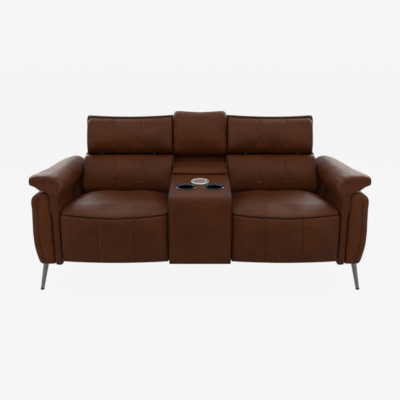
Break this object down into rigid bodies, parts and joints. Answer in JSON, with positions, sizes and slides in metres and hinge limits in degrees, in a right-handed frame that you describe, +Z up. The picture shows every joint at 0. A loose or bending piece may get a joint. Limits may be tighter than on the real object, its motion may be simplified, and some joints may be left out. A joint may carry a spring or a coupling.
{
  "type": "power reclining sofa",
  "caption": "Leather power reclining loveseat with a centre console: seats glide, backs recline, footrests fold out, headrests tilt and the console lid lifts.",
  "frame": {"origin": "on the floor, under the middle of the sofa", "axes": "+X to the right as seen from the front, -Y towards the front, +Z up"},
  "size_m": [1.9544, 0.9599, 1.01],
  "materials": {
    "leather": "semi-matt grained leather",
    "back_leather": "semi-matt grained leather",
    "timber": "raw plywood",
    "black_steel": "satin black",
    "spring_wire": "drawn wire",
    "motor_plastic": "matt black",
    "switch_plastic": "satin",
    "bin_plastic": "matt",
    "leg_metal": "gunmetal satin",
    "cup_metal": "dark chrome",
    "disc_metal": "satin"
  },
  "bodies": {
    "root": {"left_arm_frame": "timber", "left_arm_pad": "leather", "left_side_panel": "leather", "right_arm_frame": "timber", "right_arm_pad": "leather", "right_side_panel": "leather", "left_front_leg": "leg_metal", "left_rear_leg": "leg_metal", "right_front_leg": "leg_metal", "right_rear_leg": "leg_metal", "rear_base": "back_leather", "power_supply": "motor_plastic", "console_frame": "timber", "console_cover": "leather", "storage_bin": "bin_plastic", "left_cup_holder": "cup_metal", "right_cup_holder": "cup_metal", "charging_disc": "disc_metal", "console_back_cushion": "leather", "left_base_rails": "black_steel", "left_recline_motor": "motor_plastic", "left_control_panel": "switch_plastic", "right_base_rails": "black_steel", "right_recline_motor": "motor_plastic", "right_control_panel": "switch_plastic"},
    "lid": {"console_lid": "leather"},
    "left_carriage": {"left_seat_frame": "black_steel", "left_seat_springs": "spring_wire", "left_seat_cushion": "leather", "left_footrest_motor": "motor_plastic"},
    "left_backrest": {"left_back_frame": "black_steel", "left_lumbar_cushion": "leather", "left_back_cover": "back_leather", "left_headrest_motor": "motor_plastic"},
    "left_headrest": {"left_headrest_frame": "black_steel", "left_headrest_cushion": "leather"},
    "left_drive_nut": {"left_footrest_nut": "motor_plastic"},
    "left_rear_link_pair": {"left_rear_links": "black_steel"},
    "left_front_link_pair": {"left_front_links": "black_steel"},
    "left_footrest": {"left_footrest_board": "timber", "left_footrest_pad": "leather"},
    "left_recline_switch": {"left_recline_rocker": "switch_plastic"},
    "left_headrest_switch": {"left_headrest_rocker": "switch_plastic"},
    "right_carriage": {"right_seat_frame": "black_steel", "right_seat_springs": "spring_wire", "right_seat_cushion": "leather", "right_footrest_motor": "motor_plastic"},
    "right_backrest": {"right_back_frame": "black_steel", "right_lumbar_cushion": "leather", "right_back_cover": "back_leather", "right_headrest_motor": "motor_plastic"},
    "right_headrest": {"right_headrest_frame": "black_steel", "right_headrest_cushion": "leather"},
    "right_drive_nut": {"right_footrest_nut": "motor_plastic"},
    "right_rear_link_pair": {"right_rear_links": "black_steel"},
    "right_front_link_pair": {"right_front_links": "black_steel"},
    "right_footrest": {"right_footrest_board": "timber", "right_footrest_pad": "leather"},
    "right_recline_switch": {"right_recline_rocker": "switch_plastic"},
    "right_headrest_switch": {"right_headrest_rocker": "switch_plastic"}
  },
  "joints": [
    {"name": "console_lid_hinge", "type": "hinge", "parent": "root", "child": "lid", "pos_m": [0, 0.192, 0.6525], "axis": [-1, 0, 0], "range_deg": [0, 48]},
    {"name": "left_seat_glide", "type": "slide", "parent": "root", "child": "left_carriage", "axis": [0, -1, 0], "range_m": [0, 0.09]},
    {"name": "left_back_recline", "type": "hinge", "parent": "left_carriage", "child": "left_backrest", "pos_m": [-0.492, 0.1284, 0.4], "axis": [-1, 0, 0], "range_deg": [0, 32]},
    {"name": "left_headrest_tilt", "type": "hinge", "parent": "left_backrest", "child": "left_headrest", "pos_m": [-0.492, 0.1769, 0.7425], "axis": [1, 0, 0], "range_deg": [0, 30]},
    {"name": "left_footrest_open", "type": "hinge", "parent": "left_carriage", "child": "left_rear_link_pair", "pos_m": [-0.492, -0.3, 0.345], "axis": [-1, 0, 0], "range_deg": [0, 158]},
    {"name": "left_footrest_knee", "type": "hinge", "parent": "left_rear_link_pair", "child": "left_front_link_pair", "pos_m": [-0.492, -0.13039, 0.23902], "axis": [-1, 0, 0], "range_deg": [-172.5, 0]},
    {"name": "left_footrest_toe", "type": "hinge", "parent": "left_front_link_pair", "child": "left_footrest", "pos_m": [-0.492, -0.38537, 0.34203], "axis": [-1, 0, 0], "range_deg": [0, 104.5]},
    {"name": "left_drive_nut_travel", "type": "slide", "parent": "left_carriage", "child": "left_drive_nut", "axis": [0, -1, 0], "range_m": [0, 0.101]},
    {"name": "left_recline_rocker_tilt", "type": "hinge", "parent": "root", "child": "left_recline_switch", "pos_m": [-0.804, -0.091, 0.55], "axis": [0, 0, 1], "range_deg": [-6, 6], "stiffness_Nm_per_rad": 0.5},
    {"name": "left_headrest_rocker_tilt", "type": "hinge", "parent": "root", "child": "left_headrest_switch", "pos_m": [-0.804, -0.049, 0.55], "axis": [0, 0, 1], "range_deg": [-6, 6], "stiffness_Nm_per_rad": 0.5},
    {"name": "right_seat_glide", "type": "slide", "parent": "root", "child": "right_carriage", "axis": [0, -1, 0], "range_m": [0, 0.09]},
    {"name": "right_back_recline", "type": "hinge", "parent": "right_carriage", "child": "right_backrest", "pos_m": [0.492, 0.1284, 0.4], "axis": [-1, 0, 0], "range_deg": [0, 32]},
    {"name": "right_headrest_tilt", "type": "hinge", "parent": "right_backrest", "child": "right_headrest", "pos_m": [0.492, 0.1769, 0.7425], "axis": [1, 0, 0], "range_deg": [0, 30]},
    {"name": "right_footrest_open", "type": "hinge", "parent": "right_carriage", "child": "right_rear_link_pair", "pos_m": [0.492, -0.3, 0.345], "axis": [-1, 0, 0], "range_deg": [0, 158]},
    {"name": "right_footrest_knee", "type": "hinge", "parent": "right_rear_link_pair", "child": "right_front_link_pair", "pos_m": [0.492, -0.13039, 0.23902], "axis": [-1, 0, 0], "range_deg": [-172.5, 0]},
    {"name": "right_footrest_toe", "type": "hinge", "parent": "right_front_link_pair", "child": "right_footrest", "pos_m": [0.492, -0.38537, 0.34203], "axis": [-1, 0, 0], "range_deg": [0, 104.5]},
    {"name": "right_drive_nut_travel", "type": "slide", "parent": "right_carriage", "child": "right_drive_nut", "axis": [0, -1, 0], "range_m": [0, 0.101]},
    {"name": "right_recline_rocker_tilt", "type": "hinge", "parent": "root", "child": "right_recline_switch", "pos_m": [0.804, -0.091, 0.55], "axis": [0, 0, 1], "range_deg": [-6, 6], "stiffness_Nm_per_rad": 0.5},
    {"name": "right_headrest_rocker_tilt", "type": "hinge", "parent": "root", "child": "right_headrest_switch", "pos_m": [0.804, -0.049, 0.55], "axis": [0, 0, 1], "range_deg": [-6, 6], "stiffness_Nm_per_rad": 0.5}
  ],
  "couplings": [
    {"joint": "left_back_recline", "follows": "left_seat_glide", "rad_per_m": 6.1994},
    {"joint": "left_footrest_knee", "follows": "left_footrest_open", "ratio": -1.0886},
    {"joint": "left_footrest_toe", "follows": "left_footrest_open", "ratio": 0.65823},
    {"joint": "left_drive_nut_travel", "follows": "left_footrest_open", "m_per_rad": 0.036263},
    {"joint": "right_back_recline", "follows": "right_seat_glide", "rad_per_m": 6.1994},
    {"joint": "right_footrest_knee", "follows": "right_footrest_open", "ratio": -1.0886},
    {"joint": "right_footrest_toe", "follows": "right_footrest_open", "ratio": 0.65823},
    {"joint": "right_drive_nut_travel", "follows": "right_footrest_open", "m_per_rad": 0.036263}
  ]
}
